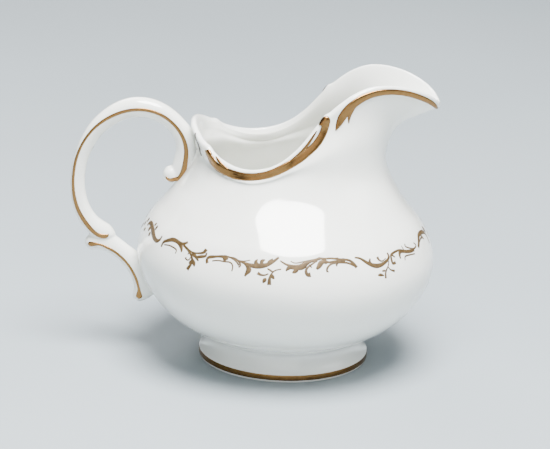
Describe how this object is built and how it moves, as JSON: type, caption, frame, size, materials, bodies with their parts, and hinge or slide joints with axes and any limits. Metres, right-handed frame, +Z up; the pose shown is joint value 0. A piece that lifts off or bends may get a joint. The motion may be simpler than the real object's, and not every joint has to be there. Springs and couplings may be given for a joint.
{
  "type": "cream jug",
  "caption": "Pot-bellied porcelain cream jug with a swept pouring lip, scrolled loop handle, foot ring and gilt scroll trim.",
  "frame": {"origin": "centre of the foot ring's resting plane", "axes": "+Z up, +X towards the pouring lip, handle at -X, symmetric about the plane Y = 0"},
  "size_m": [0.1289, 0.1046, 0.1037],
  "materials": {
    "porcelain": "gloss",
    "gilding": "polished"
  },
  "bodies": {
    "root": {"body": "porcelain", "foot_gilt_band": "gilding", "foot_ring": "porcelain", "handle": "porcelain", "handle_gilt_line_left": "gilding", "handle_gilt_line_right": "gilding", "rim_scroll_left": "gilding", "rim_scroll_right": "gilding", "spout_scroll_left": "gilding", "spout_scroll_right": "gilding", "strut_gilt_line_left": "gilding", "strut_gilt_line_right": "gilding"}
  },
  "joints": []
}
